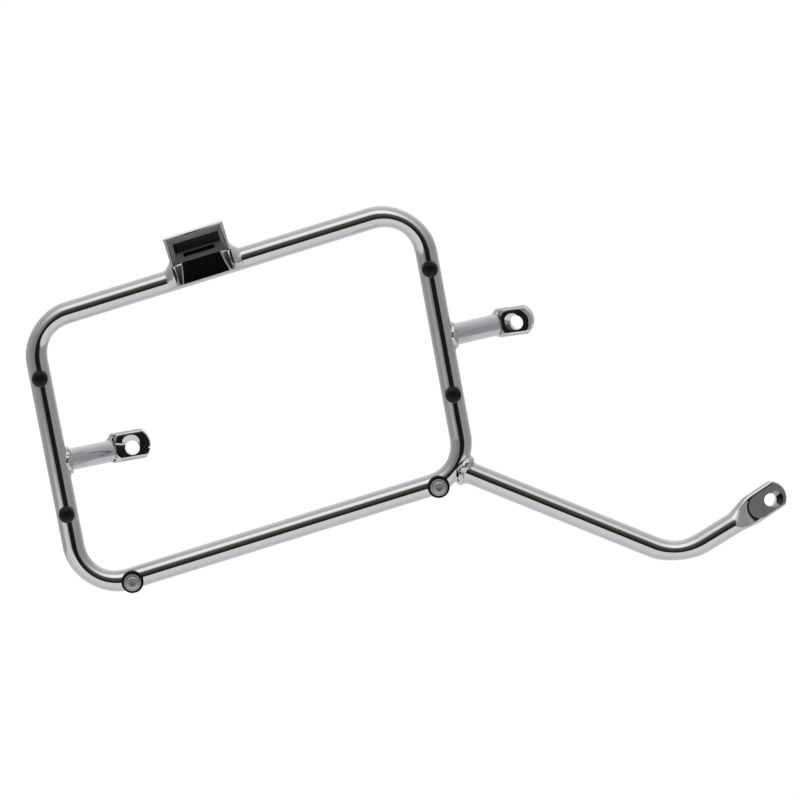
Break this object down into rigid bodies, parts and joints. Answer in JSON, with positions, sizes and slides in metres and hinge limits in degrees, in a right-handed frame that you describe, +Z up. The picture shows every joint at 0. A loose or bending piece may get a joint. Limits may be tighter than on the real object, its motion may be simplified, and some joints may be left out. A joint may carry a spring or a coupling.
{
  "type": "pannier frame",
  "caption": "Chromed tube loop that hangs a side case on a motorcycle, with cranked stays and a bent strut to bolt it on, rubber buffers, support discs and a latch catch.",
  "frame": {"origin": "centre of the front stay's eye, which bolts to the bike", "axes": "+X forward along the bike, +Y towards the bike, +Z up; the case hangs on the -Y side"},
  "size_m": [0.581, 0.0635, 0.3834],
  "materials": {
    "chrome": "polished plating",
    "buffer_rubber": "moulded",
    "disc_plastic": "moulded",
    "guide_plastic": "moulded",
    "bright_steel": "zinc plated",
    "zinc_steel": "zinc plated"
  },
  "bodies": {
    "root": {"frame_loop": "chrome", "rear_stay": "chrome", "front_stay": "chrome", "lower_strut": "chrome", "rear_stay_weld": "chrome", "front_stay_weld": "chrome", "strut_weld": "chrome", "catch_bracket": "chrome", "catch_weld_rear": "chrome", "catch_weld_front": "chrome", "buffer_rear_lower": "buffer_rubber", "buffer_rear_upper": "buffer_rubber", "buffer_front_lower": "buffer_rubber", "buffer_front_upper": "buffer_rubber", "support_disc_rear": "disc_plastic", "support_disc_front": "disc_plastic", "catch_insert": "guide_plastic", "disc_screws": "bright_steel", "disc_washers": "bright_steel", "rivet_nuts": "zinc_steel"}
  },
  "joints": []
}
